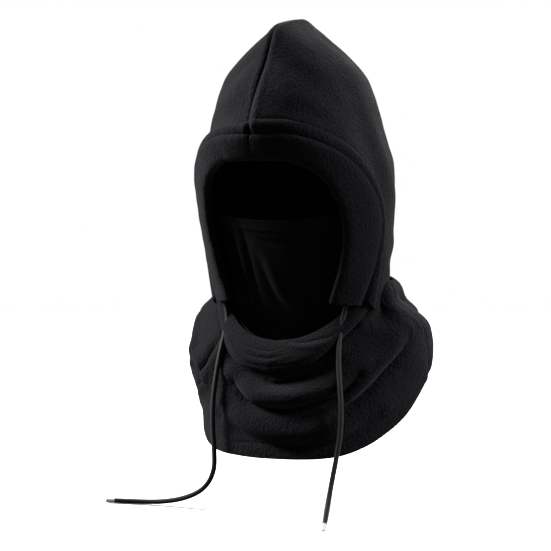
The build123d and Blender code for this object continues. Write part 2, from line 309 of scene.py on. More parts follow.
class Finish(Enum):
    """The record's material slots and how each is finished."""

    FLEECE = "fleece"
    BAND = "band_fleece"
    MASK = "mask_jersey"
    MASK_HEM = "mask_hem"
    LINING = "lining"
    TAPE = "tape"
    LABEL = "label"
    THREAD = "thread"
    CORD = "cord"
    AGLET = "aglet"


FINISHES = {
    Finish.FLEECE: Fleece("fleece"),
    Finish.BAND: Fleece(
        "band_fleece", dark=(0.0006, 0.0006, 0.0010), light=(0.0076, 0.0073, 0.0094),
        pill_scale=520.0, bump=0.85,
    ),
    Finish.MASK: Jersey("mask_jersey"),
    Finish.MASK_HEM: Jersey(
        "mask_hem", dark=(0.0014, 0.0014, 0.0018), light=(0.0046, 0.0046, 0.0056),
    ),
    Finish.LINING: Jersey("lining", dark=(0.0025, 0.0025, 0.003), light=(0.006, 0.006, 0.007)),
    Finish.TAPE: Woven(
        "tape", dark=(0.003, 0.003, 0.0035), light=(0.008, 0.008, 0.009), sheen=0.03,
    ),
    Finish.LABEL: Woven("label", dark=(0.45, 0.45, 0.43), light=(0.62, 0.62, 0.6)),
    Finish.THREAD: Woven("thread", dark=(0.004, 0.004, 0.005), light=(0.014, 0.014, 0.018)),
    Finish.CORD: Woven(
        "cord", dark=(0.004, 0.004, 0.0045), light=(0.013, 0.013, 0.0155), rough=0.6,
    ),
    Finish.AGLET: ClearTube("aglet"),
}


class Wardrobe:
    """Builds each finish once and puts it on pieces and on CAD nodes."""

    def __init__(self) -> None:
        """Builds every finish."""
        self.materials = {finish: maker.build() for finish, maker in FINISHES.items()}

    def dress(self, piece: bpy.types.Object, finish: Finish) -> None:
        """Gives a new piece its material."""
        piece.data.materials.clear()
        piece.data.materials.append(self.materials[finish])

    def dress_node(self, node: str, finish: Finish) -> None:
        """Puts a better material on a CAD node that stays."""
        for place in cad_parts[node].material_slots:
            place.material = self.materials[finish]


# ---------------------------------------------------------------- numpy surfaces
def mesh_piece(name: str, points: np.ndarray, faces: Sequence) -> bpy.types.Object:
    """Puts points in millimetres and faces, an array or a list, into a smooth mesh object."""
    data = bpy.data.meshes.new(name)
    data.from_pydata((points * MM).tolist(), [], [list(map(int, face)) for face in faces])
    data.polygons.foreach_set("use_smooth", np.ones(len(data.polygons), dtype=bool))
    data.update()
    piece = bpy.data.objects.new(name, data)
    bpy.context.scene.collection.objects.link(piece)
    return piece


def grid_faces(rows: int, columns: int, closed: bool = False, flip: bool = False) -> np.ndarray:
    """Quads of a grid of rows by columns, joined round its columns if closed."""
    last = columns if closed else columns - 1
    row, column = np.meshgrid(np.arange(rows - 1), np.arange(last), indexing="ij")
    beside = (column + 1) % columns
    quads = np.stack(
        (row * columns + column, row * columns + beside,
         (row + 1) * columns + beside, (row + 1) * columns + column), axis=-1,
    ).reshape(-1, 4)
    return quads[:, ::-1] if flip else quads


def smooth_steps(at: np.ndarray, knots: Sequence[float], values: Sequence[float]) -> np.ndarray:
    """Cubic curve through the values at rising knots, with tangents from their neighbours."""
    knots_a, values_a = np.asarray(knots, float), np.asarray(values, float)
    slopes = np.gradient(values_a, knots_a)
    at = np.clip(at, knots_a[0], knots_a[-1])
    low = np.clip(np.searchsorted(knots_a, at) - 1, 0, len(knots_a) - 2)
    width = knots_a[low + 1] - knots_a[low]
    part = (at - knots_a[low]) / width
    return (
        (2 * part**3 - 3 * part**2 + 1) * values_a[low]
        + (part**3 - 2 * part**2 + part) * width * slopes[low]
        + (-2 * part**3 + 3 * part**2) * values_a[low + 1]
        + (part**3 - part**2) * width * slopes[low + 1]
    )


def along_points(at: np.ndarray, points: Sequence[Sequence[float]]) -> np.ndarray:
    """Places at parts 0..1 of the length of a smooth curve through the points."""
    given = np.asarray(points, float)
    runs = np.linalg.norm(np.diff(given, axis=0), axis=1)
    knots = np.concatenate(([0.0], np.cumsum(runs))) / runs.sum()
    return np.stack([smooth_steps(at, knots, given[:, k]) for k in range(given.shape[1])], axis=-1)


def unit(vectors: np.ndarray) -> np.ndarray:
    """Vectors scaled to length one."""
    return vectors / np.maximum(np.linalg.norm(vectors, axis=-1, keepdims=True), 1e-9)


def bell(distance: np.ndarray, width: float) -> np.ndarray:
    """A smooth hump of height one: e to the minus (distance over width) squared."""
    return np.exp(-((distance / width) ** 2))


def ease_in(part: np.ndarray) -> np.ndarray:
    """A smooth step from 0 to 1 as the part goes from 0 to 1."""
    part = np.clip(part, 0, 1)
    return part * part * (3 - 2 * part)


def squash(value: np.ndarray, power: float) -> np.ndarray:
    """The value's size raised to a power, with its sign kept."""
    return np.sign(value) * np.abs(value) ** power


@dataclass(frozen=True)
class Fold:
    """A crease in cloth along a line of places, with a rounded lip above it.

    The cloth sinks by depth along the line and stands out by lip on the line's left side, at
    lip_off from it; both fade out over width and lip_width, and towards the line's ends.
    """

    path: tuple
    depth: float
    width: float
    lip: float = 0.0
    lip_off: float = 8.0
    lip_width: float = 7.0

    def lift(self, across: np.ndarray, up: np.ndarray) -> np.ndarray:
        """Outward movement of the cloth at places given in millimetres across and up it."""
        line = along_points(np.linspace(0, 1, 25), self.path)
        start, end = line[:-1], line[1:]
        here = np.stack((across, up), axis=-1)[..., None, :]
        step = end - start
        length = np.maximum((step**2).sum(axis=-1), 1e-6)
        part = np.clip(((here - start) * step).sum(axis=-1) / length, 0, 1)
        offset = here - (start + part[..., None] * step)
        distance = np.linalg.norm(offset, axis=-1)
        nearest = distance.argmin(axis=-1)[..., None]
        side = step[:, 0] * offset[..., 1] - step[:, 1] * offset[..., 0]
        signed = np.take_along_axis(distance * np.sign(side), nearest, -1)[..., 0]
        along = np.take_along_axis(part + np.arange(len(start)), nearest, -1)[..., 0] / len(start)
        fade = np.sin(np.pi * np.clip(along, 0.03, 0.97)) ** 0.5
        sunk = self.depth * bell(signed, self.width)
        raised = self.lip * bell(signed - self.lip_off, self.lip_width)
        return (raised - sunk) * fade


@dataclass(frozen=True)
class EggStack:
    """Level egg sections: height, half width, y of the widest place, foremost and rearmost y."""

    levels: tuple

    def section(self, height: np.ndarray) -> tuple:
        """Half width, widest y, forward reach and rearward reach at each height."""
        rows = sorted(self.levels)
        knots = [row[0] for row in rows]
        half, widest, front, back = (
            smooth_steps(height, knots, [row[k] for row in rows]) for k in range(1, 5)
        )
        return half, widest, widest - front, back - widest

    def place(self, angle: np.ndarray, height: np.ndarray, inset: Any = 0.0) -> np.ndarray:
        """Points at an angle from the front, towards the left, and a height.

        x is the half width times the sine, and y goes forward by the reach times the cosine.
        """
        half, widest, fore, aft = self.section(height)
        reach = np.where(np.cos(angle) > 0, fore, aft)
        x = (half - inset) * np.sin(angle)
        y = widest - (reach - inset) * np.cos(angle)
        return np.stack((x, y, height + 0 * x), axis=-1)

    def inside(self, points: np.ndarray) -> np.ndarray:
        """True where points lie inside the stack."""
        half, widest, fore, aft = self.section(points[..., 2])
        y = points[..., 1] - widest
        reach = np.where(y < 0, fore, aft)
        in_ring = (points[..., 0] / half) ** 2 + (y / reach) ** 2 < 1
        heights = [row[0] for row in self.levels]
        return in_ring & (points[..., 2] < max(heights)) & (points[..., 2] > min(heights))

    def cast(self, centre: np.ndarray, direction: np.ndarray) -> np.ndarray:
        """Where rays from inside leave the stack, found by halving the range 26 times."""
        low = np.zeros(direction.shape[:-1])
        high = np.full(direction.shape[:-1], 400.0)
        for _ in range(26):
            middle = (low + high) / 2
            still = self.inside(centre + direction * middle[..., None])
            low = np.where(still, middle, low)
            high = np.where(still, high, middle)
        return centre + direction * low[..., None]


@dataclass(frozen=True)
class FaceRing:
    """The sloping round surface that the casing follows round the face."""

    lean: float = math.radians(17.0)
    radius: float = 108.0
    front: float = 98.0
    forehead: float = 154.0

    def place(self, across: np.ndarray, up: np.ndarray, proud: Any = 0.0) -> np.ndarray:
        """Points at a place across and up the face plane, standing proud of the ring."""
        turn = np.arcsin(across / self.radius)
        reach = self.radius + proud
        depth = self.radius - reach * np.cos(turn)
        x = reach * np.sin(turn)
        y = -self.front - up * math.sin(self.lean) + depth * math.cos(self.lean)
        z = self.forehead + up * math.cos(self.lean) + depth * math.sin(self.lean)
        return np.stack((x, y, z), axis=-1)


HOOD_EGG = EggStack((
    (-24, 80, 2, -28, 84),
    (10, 86, 0, -42, 90),
    (45, 94, -4, -66, 97),
    (85, 99, -4, -90, 101),
    (125, 97, -2, -102, 102),
    (165, 84, 0, -103, 99),
    (205, 72, 0, -84, 90),
    (235, 59, 0, -64, 72),
    (256, 38, 0, -55, 54),
    (270, 18, -4, -49, 40),
    (281, 2.5, -12, -42, 16),
))
CAPE_EGG = EggStack((
    (44, 80, 12, -16, 108),
    (30, 88, 12, -18, 113),
    (14, 96, 14, -20, 119),
    (0, 100, 17, -22, 124),
    (-9, 111, 22, -26, 127),
    (-20, 121, 27, -32, 131),
    (-40, 126, 30, -48, 135),
    (-75, 127, 30, -64, 139),
    (-110, 125, 30, -75, 140),
    (-150, 119, 30, -82, 136),
))
RING = FaceRing()
SEAM_POINTS = ((0, 10), (42, 5), (75, -18), (94, -62), (96, -100), (89, -136), (77, -170))


def seam_line(part: np.ndarray, inset: Any) -> np.ndarray:
    """Places on the face plane along the casing's outer seam, from the crown down.

    The seam is a smooth curve through its points, moved inwards along its normal by inset.
    """
    step = 0.002
    here = along_points(part, SEAM_POINTS)
    ahead = along_points(np.minimum(part + step, 1), SEAM_POINTS)
    behind = along_points(np.maximum(part - step, 0), SEAM_POINTS)
    along = unit(ahead - behind)
    along = np.where((part < step)[..., None], np.array((1.0, 0.0)), along)
    inward = np.stack((along[..., 1], -along[..., 0]), axis=-1)
    return here + inward * np.asarray(inset)[..., None]


def thicken(piece: bpy.types.Object, thickness: float) -> None:
    """Gives a sheet its cloth thickness, inwards from its grid."""
    wall = piece.modifiers.new("cloth", "SOLIDIFY")
    wall.thickness = thickness * MM
    wall.offset = -1.0


def finish_sheet(piece: bpy.types.Object, thickness: float) -> None:
    """Gives a sheet its cloth thickness and rounds it once."""
    thicken(piece, thickness)
    round_off = piece.modifiers.new("round", "SUBSURF")
    round_off.levels = round_off.render_levels = 1


def sheet_size(points: np.ndarray) -> tuple:
    """Width, length and area in metres of a grid of points.

    The width and length are the longest row and column, and the area adds the quads' halves.
    """
    rows = np.linalg.norm(np.diff(points, axis=1), axis=-1).sum(axis=1).max()
    columns = np.linalg.norm(np.diff(points, axis=0), axis=-1).sum(axis=0).max()
    first = points[1:, 1:] - points[:-1, :-1]
    second = points[1:, :-1] - points[:-1, 1:]
    area = np.linalg.norm(np.cross(first, second), axis=-1).sum() / 2
    return rows * MM, columns * MM, area * MM * MM


def declare_sheet(
    points: np.ndarray
) -> None:
    """Works out a grid's width, length and area, with the area held between a share of width times
    length and all of it.
    """
    width, length, area = sheet_size(points)
    area = min(max(area, LEAST_AREA_SHARE * width * length), width * length)


def stitch_row(
    name: str, line: np.ndarray, outward: np.ndarray, pitch: float = 3.0, long: float = 2.2,
    thick: float = 0.42,
) -> bpy.types.Object:
    """A row of stitches along a line.

    Args:
        name: the piece's name.
        line: points along the stitching, in millimetres.
        outward: the cloth's outward normal at each point.
        pitch: from one stitch to the next.
        long: a stitch's length.
        thick: a stitch's radius.

    Returns:
        One mesh of slim spindles: each is rings of radius thick times the root of
        1 minus the squared place along it, standing half out of the cloth.
    """
    runs = np.linalg.norm(np.diff(line, axis=0), axis=1)
    reach = np.concatenate(([0.0], np.cumsum(runs)))
    centres = np.arange(pitch / 2, reach[-1], pitch)
    pick = [np.interp(centres, reach, line[:, k]) for k in range(3)]
    middle = np.stack(pick, axis=-1)
    normal = unit(np.stack([np.interp(centres, reach, outward[:, k]) for k in range(3)], axis=-1))
    before = np.stack([np.interp(centres - 0.5, reach, line[:, k]) for k in range(3)], axis=-1)
    along = unit(middle - before)
    beside = np.cross(along, normal)
    rings, sides = 6, 6
    part = np.linspace(-0.98, 0.98, rings)
    turn = np.arange(sides) * 2 * math.pi / sides
    size = thick * np.sqrt(1 - part**2)
    local = (
        middle[:, None, None]
        + along[:, None, None] * (part * long / 2)[None, :, None, None]
        + beside[:, None, None] * (size[:, None] * np.cos(turn))[None, ..., None]
        + normal[:, None, None] * (size[:, None] * np.sin(turn))[None, ..., None]
    )
    one = grid_faces(rings, sides, closed=True)
    faces = (one[None] + np.arange(len(centres))[:, None, None] * rings * sides).reshape(-1, 4)
    return mesh_piece(name, local.reshape(-1, 3), faces)


# ---------------------------------------------------------------- the hood
@dataclass
class Hood:
    """Two panels sewn along the crown, a folded casing round the face and a crown tape."""

    wardrobe: Wardrobe
    thickness: float = 3.0
    rows: int = 110
    columns: int = 96
    crown_height: float = 281.0
    skirt: float = -18.0
    tip_drop: float = 12.0
    tip_pinch: float = 0.55
    seam_sink: float = 2.2
    seam_end: float = 0.975
    seam_width: float = 2.4
    seam_length: float = 235.0
    crown_pinch: float = 0.10
    crown_pinch_width: float = 2.2
    band_width: float = 26.0
    band_depth: float = 11.0
    band_wall: float = 2.2
    folds: tuple = field(default=(
        Fold(((88, 40), (92, 10), (84, -20)), 3.2, 6.0, 2.2, 11.0, 9.0),
        Fold(((70, 150), (82, 105), (84, 62)), 2.2, 11.0, 1.8, 16.0, 11.0),
        Fold(((95, 215), (118, 150), (122, 80)), 2.6, 14.0, 2.0, 20.0, 16.0),
        Fold(((14, 238), (32, 226), (52, 214)), 1.8, 9.0, 1.5, 12.0, 9.0),
        Fold(((20, 186), (48, 182), (70, 168)), 1.6, 9.0, 1.2, 12.0, 9.0),
        Fold(((150, 60), (175, 45), (205, 50)), 2.6, 11.0, 2.2, 14.0, 12.0),
        Fold(((140, 140), (178, 120), (215, 128)), 2.0, 16.0, 1.5, 18.0, 15.0),
    ))

    def centre_line(self, part: np.ndarray) -> np.ndarray:
        """The crown seam: up the forehead, along the peak and down the back to the nape."""
        start = RING.place(np.array(0.0), np.array(15.0))[2]
        up = np.linspace(start, self.crown_height, 60)
        down = np.linspace(self.crown_height, self.skirt, 100)
        fore = HOOD_EGG.place(np.zeros(60), up)
        aft = HOOD_EGG.place(np.full(100, math.pi), down)
        line = np.concatenate((fore, aft))
        runs = np.linalg.norm(np.diff(line, axis=0), axis=1)
        reach = np.concatenate(([0.0], np.cumsum(runs))) / runs.sum()
        return np.stack([np.interp(part, reach, line[:, k]) for k in range(3)], axis=-1)

    def panel_grid(self, side: Side, inset: float = 0.0) -> np.ndarray:
        """Points of one panel, from the face seam (column 0) to the crown seam (last column).

        Each row fans out from a centre inside the hood: directions turn from the face seam to
        the crown seam, and each is carried out to the hood's egg-shaped surface. The cloth then
        moves along its direction by its folds and sinks into its two seams.
        """
        row = np.linspace(0.012, 1, self.rows)[:, None]
        column = np.linspace(0, 1, self.columns)[None, :]
        seam = seam_line(self.seam_end * row[:, 0] ** 0.92, 1.5)
        face = RING.place(seam[:, 0], seam[:, 1], 1.0)[:, None]
        crown = self.centre_line(row[:, 0])[:, None]
        blend = row * row * (3 - 2 * row)
        centre = np.stack((0 * row, 4 + 0 * row, 75 - 84 * blend), axis=-1)
        direction = unit(unit(face - centre) * (1 - column)[..., None]
                         + unit(crown - centre) * column[..., None])
        spread = HOOD_EGG.cast(np.broadcast_to(centre, direction.shape), direction)
        correction = (face - spread[:, :1]) * ((1 - column) ** 5)[..., None]
        points = spread + correction
        across = np.degrees(np.arctan2(points[..., 0], -points[..., 1])) * 1.55
        lift = sum(fold.lift(across, points[..., 2]) for fold in self.folds)
        near_face = np.linalg.norm(points - face, axis=-1)
        near_crown = np.abs(points[..., 0])
        calm = 1 - bell(near_face, 14.0)
        lift = lift * calm * np.clip(near_crown / 25.0, 0, 1)
        lift = lift - self.seam_sink * bell(near_crown, self.seam_width)
        lift = lift + 0.7 * bell(near_crown - 5.0, 3.0)
        lift = lift - 5.5 * bell(near_face, 3.8) + 1.6 * bell(near_face - 9.0, 4.0)
        lift = lift - 1.0 * bell(near_face - 14.5, 1.6)
        wave = np.sin(points[..., 2] * 0.083 + across * 0.05) * np.sin(across * 0.061 + 1.3)
        ripple = np.sin(points[..., 2] * 0.31 + 2.0 * np.sin(across * 0.11))
        lift = lift + (0.9 * wave + 0.16 * ripple) * calm * np.clip(near_crown / 20.0, 0, 1)
        points = points + direction * (lift - inset)[..., None]
        slim = 5.0 * bell(points[..., 2] - 88.0, 38.0) if side is Side.LEFT else (
            8.0 * bell(points[..., 2] - 165.0, 34.0) * np.clip(-points[..., 1] / 40.0, 0, 1))
        points = points - direction * (slim * calm)[..., None]
        tip = np.clip((points[..., 2] - 215.0) / 66.0, 0, 1)
        points[..., 0] *= 1 - self.tip_pinch * tip**1.5 * (1 - 0.5 * tip)
        tuck_in = 15.0 * (1 - bell(column, 0.10)) * (1 - column) * row**14
        points[..., 2] -= tuck_in
        points[..., 2] -= self.tip_drop * tip * tip * np.clip((14.0 - points[..., 1]) / 56.0, 0, 1)
        points[..., 0] = np.maximum(points[..., 0], 0.25)
        points[:, -1, 0] = 0.25
        points[..., 0] *= side.value
        return points

    def build_panel(self, side: Side, node: str) -> bpy.types.Object:
        """Makes one panel, named after the CAD node that it stands for, and hides that node."""
        points = self.panel_grid(side)
        faces = grid_faces(self.rows, self.columns, flip=side is Side.RIGHT)
        piece = mesh_piece(f"{node}_cloth", points.reshape(-1, 3), faces)
        finish_sheet(piece, self.thickness)
        self.wardrobe.dress(piece, Finish.FLEECE)
        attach(piece, "hood")
        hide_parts(node)
        declare_sheet(points)
        return piece

    def build_tape(self) -> bpy.types.Object:
        """The tape inside the crown seam: the panels' last columns, moved in off the cloth."""
        keep = 8
        inset = self.thickness + 0.9
        left = self.panel_grid(Side.LEFT, inset)[:, -keep:]
        right = self.panel_grid(Side.RIGHT, inset)[:, -keep:][:, ::-1]
        points = np.concatenate((left, right[:, 1:]), axis=1)
        piece = mesh_piece(
            "crown_seam_tape_cloth", points.reshape(-1, 3),
            grid_faces(self.rows, points.shape[1]),
        )
        thicken(piece, TAPE_THICKNESS)
        self.wardrobe.dress(piece, Finish.TAPE)
        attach(piece, "hood")
        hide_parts("crown_seam_tape")
        declare_sheet(points)
        return piece

    def band_place(self, part: np.ndarray, turn: np.ndarray) -> np.ndarray:
        """Points of the casing: a soft flat tube carried down the seam line.

        The section is a rounded rectangle, its width along the root of the cosine and its depth
        along the root of the sine of the angle round it. It puckers a little along its length.
        """
        wide = (self.band_width / 2) * squash(np.cos(turn), 0.55)
        deep = (self.band_depth / 2) * squash(np.sin(turn), 0.72)
        pucker = 0.4 * np.sin(part * 23.0) * np.sin(part * 9.0 + 1.0)
        pucker = pucker + 0.12 * np.sin(part * 71.0 + np.cos(turn) * 2.0)
        ease = np.clip(part / 0.04, 0, 1)
        deep = deep + pucker * (deep > 0) * ease
        seam = seam_line(part, self.band_width / 2 + wide)
        return RING.place(seam[..., 0], seam[..., 1], deep)

    def build_casing(self, side: Side, node: str) -> bpy.types.Object:
        """Makes one half of the casing, open at its lower end where the cord comes out."""
        rows, columns = 150, 44
        part = np.linspace(0.0, 1.0, rows)[:, None]
        turn = np.linspace(0, 2 * math.pi, columns, endpoint=False)[None, :]
        points = self.band_place(part + 0 * turn, turn + 0 * part)
        from_crown = part * self.seam_length
        shrink = 1 - self.crown_pinch * bell(from_crown, self.crown_pinch_width)
        middle = points.mean(axis=1, keepdims=True)
        points = middle + (points - middle) * shrink[..., None]
        points[0, :, 0] = 0.15
        points[..., 0] *= side.value
        piece = mesh_piece(
            f"{node}_cloth", points.reshape(-1, 3),
            grid_faces(rows, columns, closed=True, flip=side is Side.LEFT),
        )
        finish_sheet(piece, self.band_wall)
        self.wardrobe.dress(piece, Finish.BAND)
        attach(piece, "hood")
        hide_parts(node)
        declare_sheet(points)
        return piece

    def build(self) -> None:
        """Builds every piece of the hood."""
        for side, name in ((Side.LEFT, "left"), (Side.RIGHT, "right")):
            self.build_panel(side, f"hood_{name}_panel")
            self.build_casing(side, f"casing_{name}")
            log.info("hood and casing, %s", name)
        self.build_tape()
        self.wardrobe.dress_node("drawcord_run", Finish.CORD)


# ---------------------------------------------------------------- the face mask
@dataclass
class Mask:
    """The pull-down mask: a curved tapering sheet with a folded hem and its stitching."""

    wardrobe: Wardrobe
    broad: float = 84.0
    bulge: float = 54.0
    set_back: float = 19.6
    top_down: float = 78.0
    height: float = 137.0
    top_half: float = 80.0
    low_half: float = 68.0
    thickness: float = 2.2
    hem: float = 12.0
    hem_thickness: float = 1.6
    folds: tuple = field(default=(
        Fold(((-56, -8), (-46, -60), (-33, -114)), 3.0, 4.5, 2.4, -8.0, 5.0),
        Fold(((-38, -8), (-32, -60), (-24, -112)), 2.8, 4.0, 2.2, -7.0, 4.5),
        Fold(((-22, -40), (0, -92), (26, -108)), 2.4, 6.0, 2.2, 8.0, 6.0),
        Fold(((-16, -22), (4, -25), (20, -21)), 1.4, 3.0, 1.0, 5.0, 4.0),
        Fold(((34, -10), (33, -60), (27, -110)), 2.4, 6.0, 1.8, 8.0, 6.0),
    ))

    def place(self, across: np.ndarray, down: np.ndarray, proud: Any = 0.0) -> np.ndarray:
        """Points on the mask's oval wall, whose middle lies behind the casing's front.

        The cloth is an oval tube down the slope of the face, moved in and out by its folds.
        """
        lean = RING.lean
        lift = sum(fold.lift(across, -down) for fold in self.folds)
        lift = lift * np.clip(down / 12.0, 0.25, 1)
        turn = np.arcsin(np.clip(across / self.broad, -0.999, 0.999))
        grow = proud + lift - 2.0
        depth = self.set_back + self.bulge - (self.bulge + grow) * np.cos(turn)
        slope = self.top_down + down
        y = -RING.front + slope * math.sin(lean) + depth * math.cos(lean)
        z = RING.forehead - slope * math.cos(lean) + depth * math.sin(lean)
        return np.stack(((self.broad + grow) * np.sin(turn), y, z), axis=-1)

    def sheet(self, name: str, low: float, high: float, proud: float, rows: int) -> tuple:
        """A stretch of the mask between two distances down it, and its grid of points."""
        columns = 84
        down = np.linspace(low, high, rows)[:, None]
        half = self.top_half + (self.low_half - self.top_half) * down / self.height
        across = np.linspace(-1, 1, columns)[None, :] * half
        sag = 3.0 * (1 - (across / half) ** 2) * np.clip(1 - down / 40.0, 0, 1)
        points = self.place(across, down + 0 * across + sag, proud)
        return mesh_piece(name, points.reshape(-1, 3), grid_faces(rows, columns)), points

    def build(self) -> None:
        """Builds the mask, its hem and the hem's stitching."""
        body, points = self.sheet("face_mask_cloth", 0.6, self.height, 0.0, 110)
        finish_sheet(body, self.thickness)
        self.wardrobe.dress(body, Finish.MASK)
        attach(body, "mask")
        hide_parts("face_mask")
        declare_sheet(points)
        fold, points = self.sheet("mask_top_hem_cloth", 0.0, self.hem, 1.7, 20)
        finish_sheet(fold, self.hem_thickness)
        self.wardrobe.dress(fold, Finish.MASK_HEM)
        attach(fold, "mask")
        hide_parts("mask_top_hem")
        declare_sheet(points)
        half = self.top_half - 5.0
        across = np.linspace(-half, half, 150)
        sag = 3.0 * (1 - (across / self.top_half) ** 2) * (1 - (self.hem - 2.2) / 40.0)
        line = self.place(across, np.full(150, self.hem - 2.2) + sag, 2.1)
        out = unit(self.place(across, np.full(150, self.hem), 5.0)
                   - self.place(across, np.full(150, self.hem), 0.0))
        stitches = stitch_row("mask_hem_thread_row", line, out, 2.6, 1.9, 0.35)
        self.wardrobe.dress(stitches, Finish.THREAD)
        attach(stitches, "mask")
        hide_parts("mask_hem_thread")
        log.info("face mask")


# ---------------------------------------------------------------- the collar and cape
@dataclass
class Cape:
    """The collar and shoulder cape: front and back panels, chin band, hem and trimmings."""

    wardrobe: Wardrobe
    thickness: float = 3.0
    fold_radius: float = 120.0
    hem_fold: float = 14.0
    stitch_up: float = 12.0
    side_under: float = 1.6
    hem_points: tuple = (
        (-100, -144), (-62, -141), (-25, -120), (28, -72), (62, -42), (88, -26), (112, -48),
        (130, -88), (152, -104),
    )
    collar_front_z: float = -1.0
    collar_bend_y: float = -10.0
    collar_rise: float = 52.0 / 210.0
    chin_top: tuple = ((70, 8), (52, -16), (26, -32), (0, -36))
    chin_low: tuple = ((84, 8), (64, -26), (36, -54), (0, -62))
    chin_proud: float = 4.6
    chin_overlap: float = 7.0
    chin_valley: float = 5.0
    side_rise: float = 17.0
    rise_y: float = -34.0
    right_tuck: float = 15.0
    folds: tuple = field(default=(
        # the deep drape across the chest, and the roll above it
        Fold(((-36, -78), (-18, -93), (10, -98), (45, -93), (70, -82), (86, -66)),
             12.0, 5.0, 8.0, 12.0, 9.0),
        # the roll below the chin band
        Fold(((-40, -52), (-24, -66), (4, -76), (34, -70), (62, -52)), 7.0, 5.0, 3.5, 9.0, 7.0),
        # creases over the wearer's right collarbone
        Fold(((-66, -38), (-84, -66), (-112, -92)), 7.0, 5.0, 4.5, 10.0, 8.0),
        Fold(((-128, -52), (-96, -74), (-62, -92)), 5.0, 5.0, 4.0, 10.0, 8.0),
        Fold(((-148, -20), (-126, -48), (-140, -66)), 5.0, 6.0, 3.5, 10.0, 8.0),
        # the long drape from the chest up over the wearer's left shoulder
        Fold(((64, -104), (90, -84), (116, -60), (146, -34)), 8.0, 6.0, 6.5, 12.0, 10.0),
        Fold(((96, -18), (124, -10), (150, 2)), 8.0, 8.0, 3.0, 12.0, 9.0),
        # the lower drape above the hem
        Fold(((-50, -112), (-14, -124), (30, -132), (72, -126), (110, -104)),
             5.0, 7.0, 4.0, 13.0, 10.0),
        # soft folds round the back
        Fold(((210, 20), (260, -30), (300, -60)), 5.0, 10.0, 4.0, 16.0, 14.0),
        Fold(((-210, 20), (-260, -30), (-300, -60)), 5.0, 10.0, 4.0, 16.0, 14.0),
        Fold(((-330, -14), (-375, -30), (-330, -52)), 4.0, 10.0, 3.0, 14.0, 12.0),
    ))

    @property
    def chin_reach(self) -> list:
        """Distances from the middle at which the chin band's lower edge is known."""
        return [x for x, _ in reversed(self.chin_low)] + [96.0]

    @property
    def chin_under(self) -> list:
        """Heights of the chin band's lower edge at those distances."""
        return [z for _, z in reversed(self.chin_low)] + [30.0]

    def hem_height(self, y: np.ndarray) -> np.ndarray:
        """Height of the hem at a place front to back: a smooth curve through its points."""
        return smooth_steps(y, [p[0] for p in self.hem_points], [p[1] for p in self.hem_points])

    def collar_height(self, y: np.ndarray) -> np.ndarray:
        """Height of the collar's top edge: level in front, raised beside the jaw, rising behind."""
        beside = self.side_rise * ease_in((y - self.rise_y) / 24.0) * ease_in((70.0 - y) / 60.0)
        slope = np.maximum(y - self.collar_bend_y, 0) * self.collar_rise
        return self.collar_front_z + slope + beside

    def drape(self, angle: np.ndarray, height: np.ndarray, inset: Any = 0.0) -> np.ndarray:
        """Points of the cape at an angle and a height, moved out by its folds less the inset."""
        angle = (angle + math.pi) % (2 * math.pi) - math.pi
        across = angle * self.fold_radius
        lift = sum(fold.lift(across, height) for fold in self.folds)
        top = self.collar_height(CAPE_EGG.place(angle, height)[..., 1])
        calm = np.clip((top - height) / 16.0, 0, 1) * np.clip((math.pi - abs(angle)) / 0.3, 0, 1)
        wave = np.sin(across * 0.035 + height * 0.04) * np.sin(height * 0.07 + across * 0.02)
        ripple = np.sin(height * 0.26 + 2.2 * np.sin(across * 0.07))
        lift = np.clip((lift + 1.2 * wave + 0.2 * ripple) * calm, -9.0, 7.0)
        across_chin = np.abs(CAPE_EGG.place(angle, height)[..., 0])
        below_chin = smooth_steps(across_chin, self.chin_reach, self.chin_under) - height
        front = np.clip(np.cos(angle) * 4.0, 0, 1)
        lift = lift - self.chin_valley * bell(below_chin - 5.0, 6.5) * front
        tuck = self.right_tuck * np.clip((-58.0 - height) / 50.0, 0, 1)
        lift = lift - tuck * bell(np.degrees(angle) + 68.0, 34.0)
        base = CAPE_EGG.place(angle, height)
        beyond = CAPE_EGG.place(angle, height, -1.0)
        return base + (beyond - base) * (lift - inset)[..., None]

    def edge_heights(self, angle: np.ndarray) -> tuple:
        """Heights of the collar's edge and the hem at each angle, by settling 24 times."""
        top = np.zeros_like(angle)
        hem = np.full_like(angle, -90.0)
        for _ in range(24):
            here = CAPE_EGG.place(angle, top)
            chin = smooth_steps(np.abs(here[..., 0]), self.chin_reach, self.chin_under)
            chin = chin + self.chin_overlap
            chin = np.where(np.cos(angle) > 0.1, chin, 99.0)
            top = 0.5 * top + 0.5 * np.minimum(self.collar_height(here[..., 1]), chin)
            hem = 0.5 * hem + 0.5 * self.hem_height(CAPE_EGG.place(angle, hem)[..., 1])
        return top, hem

    def panel(
        self, name: str, start: float, end: float, lift_top: float, low: float, high: float,
        inset: float, size: tuple,
    ) -> tuple:
        """A stretch of the cape.

        Args:
            name: the piece's name.
            start: first angle, degrees from the front.
            end: last angle.
            lift_top: how far above the collar's edge the stretch starts, negative for below.
            low: where along the way down it starts, 0 at the top edge.
            high: where it ends: 1 at the hem, or millimetres above the hem if negative.
            inset: how far inside the cape's outside it lies.
            size: rows and columns.

        Returns:
            The piece and its grid of points.
        """
        rows, columns = size
        angle = np.radians(np.linspace(start, end, columns))[None, :] + np.zeros((rows, 1))
        top, hem = self.edge_heights(angle[0])
        begin = top + lift_top if high >= 0 else hem - high
        begin = begin + (hem - begin) * low
        part = np.linspace(0, 1, rows)[:, None]
        height = begin[None, :] + (hem - begin)[None, :] * part
        stitch = 0.9 * bell(height - hem[None, :] - self.stitch_up, 1.7)
        under = self.side_under * bell(np.abs(np.degrees(angle) - 180.0) - 90.0, 2.0)
        points = self.drape(angle, height, inset + stitch + under)
        return mesh_piece(name, points.reshape(-1, 3), grid_faces(rows, columns)), points

